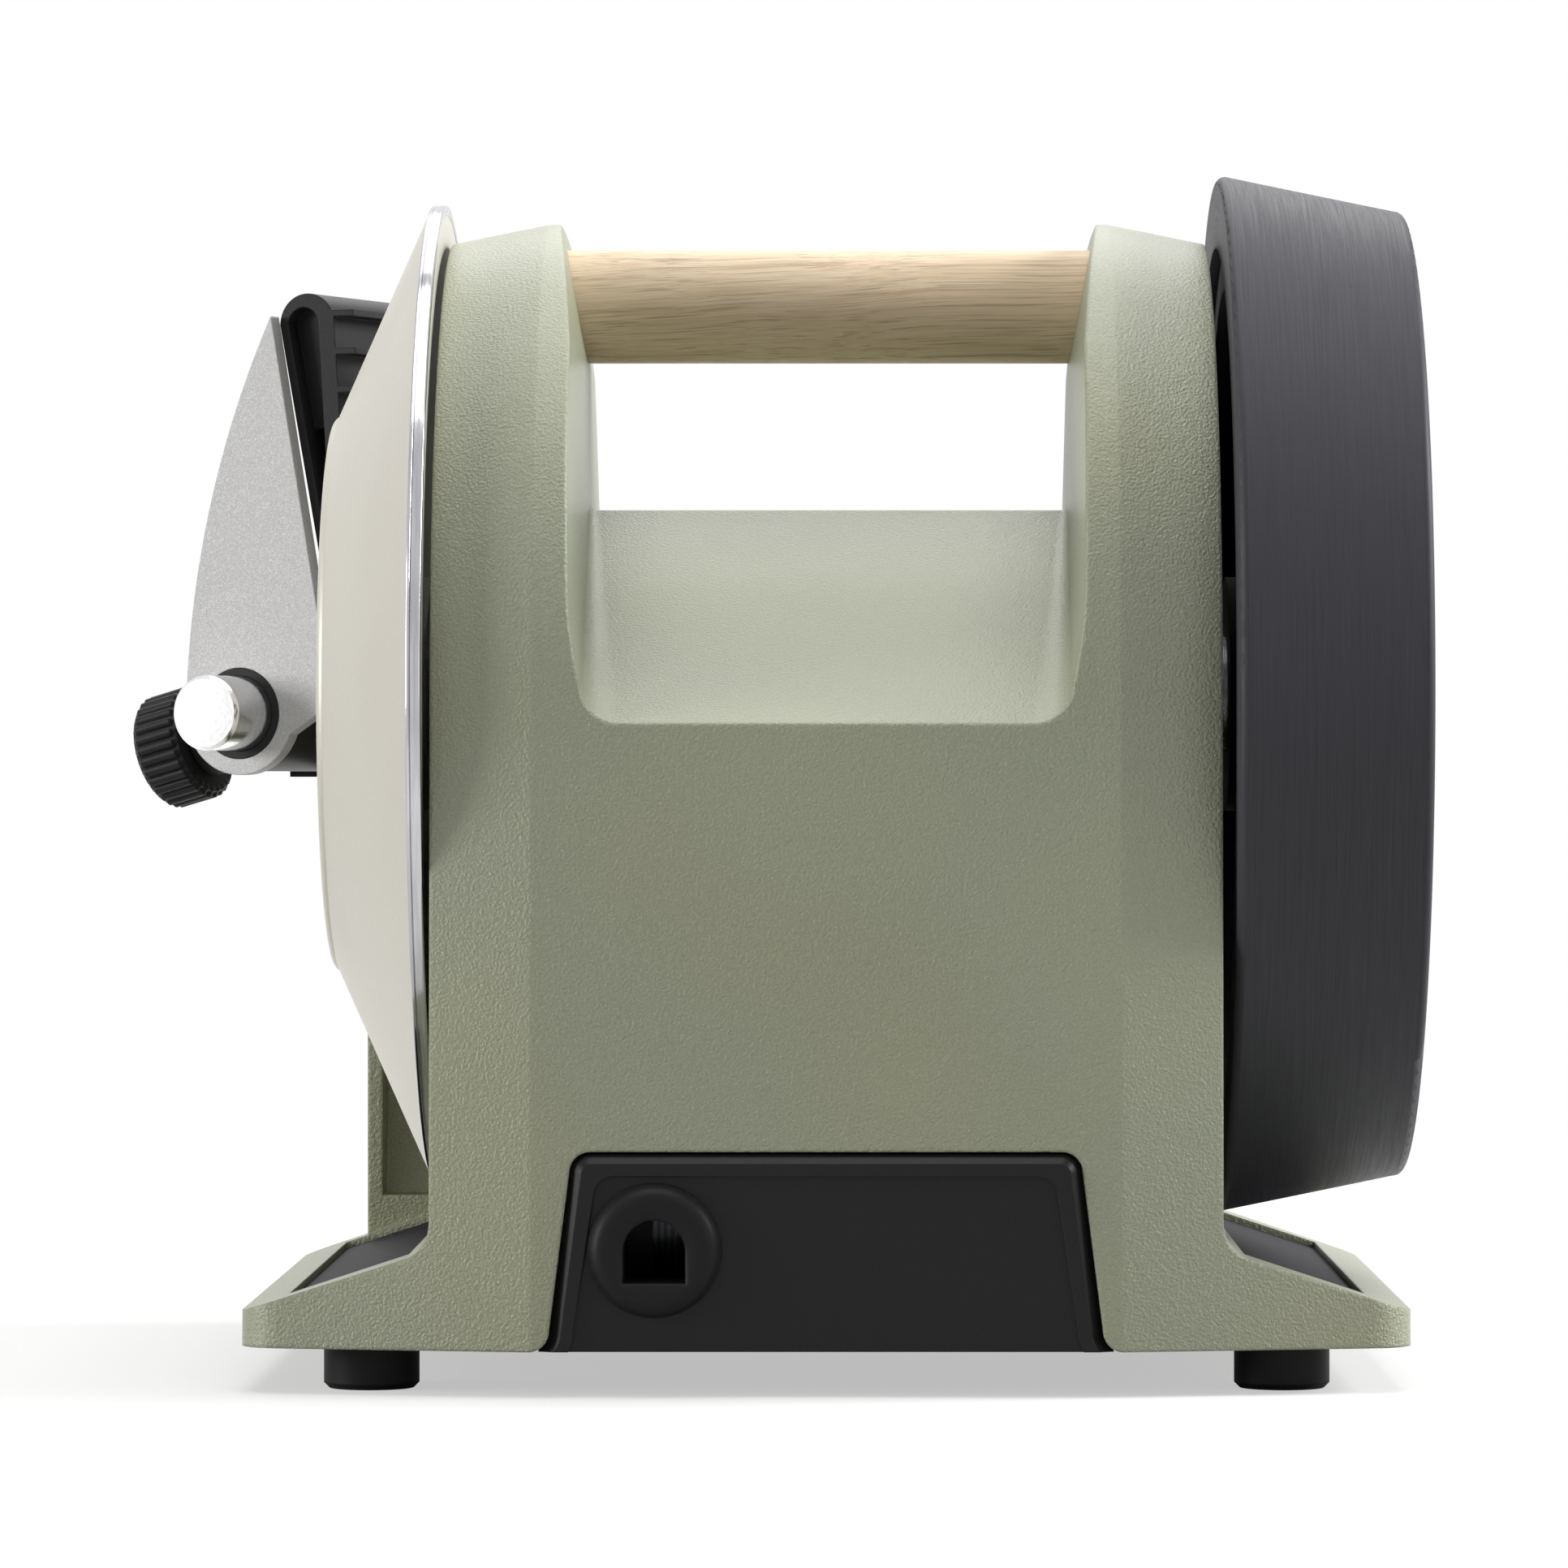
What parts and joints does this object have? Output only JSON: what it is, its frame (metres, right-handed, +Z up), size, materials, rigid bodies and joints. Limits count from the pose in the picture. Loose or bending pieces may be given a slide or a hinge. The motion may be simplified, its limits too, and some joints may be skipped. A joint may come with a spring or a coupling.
{
  "type": "electric knife sharpener",
  "caption": "Table-top electric knife sharpener: arched cast housing with a wooden carrying handle, a conical diamond wheel, a honing wheel and a swinging knife guide.",
  "frame": {"origin": "middle of the footprint on the table, under the wheel shaft's middle", "axes": "+Z up, -Y towards the operator, +X to the operator's right where the diamond wheel and the guide are"},
  "size_m": [0.2019, 0.1705, 0.1816],
  "materials": {
    "green_paint": "fine-textured satin paint with a metallic tint",
    "oak": "oiled",
    "diamond_steel": "fine diamond-coated steel",
    "honing_composite": "fine-brushed composite",
    "core_plastic": "moulded",
    "panel_plastic": "fine grain",
    "bushing_rubber": "matte",
    "foot_rubber": "matte",
    "tray_rubber": "matte",
    "switch_plastic": "semi-gloss",
    "guide_plastic": "fine grain",
    "plate_zinc": "blasted",
    "bright_steel": "polished",
    "bolt_steel": "zinc plated",
    "bearing_steel": "ground",
    "gear_steel": "oiled",
    "motor_steel": "varnished laminations",
    "bell_aluminium": "cast",
    "winding_copper": "varnished copper wire",
    "fan_plastic": "moulded",
    "carrier_steel": "zinc plated sheet",
    "capacitor_case": "moulded",
    "block_plastic": "moulded"
  },
  "bodies": {
    "base": {"housing": "green_paint", "foot_rear_right": "foot_rubber", "foot_front_right": "foot_rubber", "foot_rear_left": "foot_rubber", "foot_front_left": "foot_rubber", "foot_screws": "bolt_steel", "tray_insert_right": "tray_rubber", "tray_insert_left": "tray_rubber", "handle": "oak", "handle_screws": "bolt_steel", "base_cover": "panel_plastic", "base_cover_screws": "bolt_steel", "rear_panel": "panel_plastic", "front_panel": "panel_plastic", "cord_bushing": "bushing_rubber", "switch_case": "switch_plastic", "bearing_right": "bearing_steel", "bearing_left": "bearing_steel", "idler_axle": "gear_steel", "idler_clip": "gear_steel", "gear_plate": "carrier_steel", "gear_plate_screws": "bolt_steel", "stator_stack": "motor_steel", "end_bell_right": "bell_aluminium", "end_bell_left": "bell_aluminium", "winding_right": "winding_copper", "winding_left": "winding_copper", "motor_bushes": "bearing_steel", "motor_bolts": "bolt_steel", "run_capacitor": "capacitor_case", "capacitor_clip": "carrier_steel", "terminal_block": "block_plastic", "guide_bar": "bright_steel", "guide_arm": "guide_plastic", "guide_arm_screws": "bolt_steel", "bar_set_screw": "bolt_steel"},
    "wheels": {"wheel_shaft": "bearing_steel", "wheel_collar_right": "bearing_steel", "wheel_collar_left": "bearing_steel", "shaft_spacer": "bearing_steel", "diamond_wheel": "diamond_steel", "honing_ring": "honing_composite", "honing_core": "core_plastic", "wheel_washers": "bolt_steel", "wheel_bolts": "bolt_steel", "main_gear": "gear_steel"},
    "idler": {"idler_gear": "gear_steel"},
    "rotor_group": {"rotor": "motor_steel", "motor_shaft": "bearing_steel", "fast_pinion": "gear_steel", "cooling_fan": "fan_plastic"},
    "rocker": {"switch_rocker": "switch_plastic"},
    "guide": {"guide_body": "guide_plastic", "angle_plate": "plate_zinc", "plate_screws": "bolt_steel"},
    "knob": {"clamp_knob": "guide_plastic", "clamp_screw": "bolt_steel"}
  },
  "joints": [
    {"name": "wheel_spin", "type": "hinge", "parent": "base", "child": "wheels", "pos_m": [0, 0, 0.1022], "axis": [1, 0, 0], "continuous": true},
    {"name": "idler_spin", "type": "hinge", "parent": "base", "child": "idler", "pos_m": [0, -0.02251, 0.05896], "axis": [1, 0, 0], "continuous": true},
    {"name": "rotor_spin", "type": "hinge", "parent": "base", "child": "rotor_group", "pos_m": [0, 0.00805, 0.04405], "axis": [1, 0, 0], "continuous": true},
    {"name": "rocker_tilt", "type": "hinge", "parent": "base", "child": "rocker", "pos_m": [0, -0.0697, 0.021], "axis": [1, 0, 0], "range_deg": [-16, 0]},
    {"name": "guide_swing", "type": "hinge", "parent": "base", "child": "guide", "pos_m": [0.0996, -0.038, 0.0996], "axis": [0.4289, 0.9033, 0], "range_deg": [-6, 8]},
    {"name": "knob_turn", "type": "hinge", "parent": "guide", "child": "knob", "pos_m": [0.08776, -0.06293, 0.0996], "axis": [0.8734, -0.4147, -0.2554], "range_deg": [0, 270]}
  ],
  "couplings": [
    {"joint": "idler_spin", "follows": "wheel_spin", "ratio": -4.9091},
    {"joint": "rotor_spin", "follows": "wheel_spin", "ratio": 22.909}
  ]
}
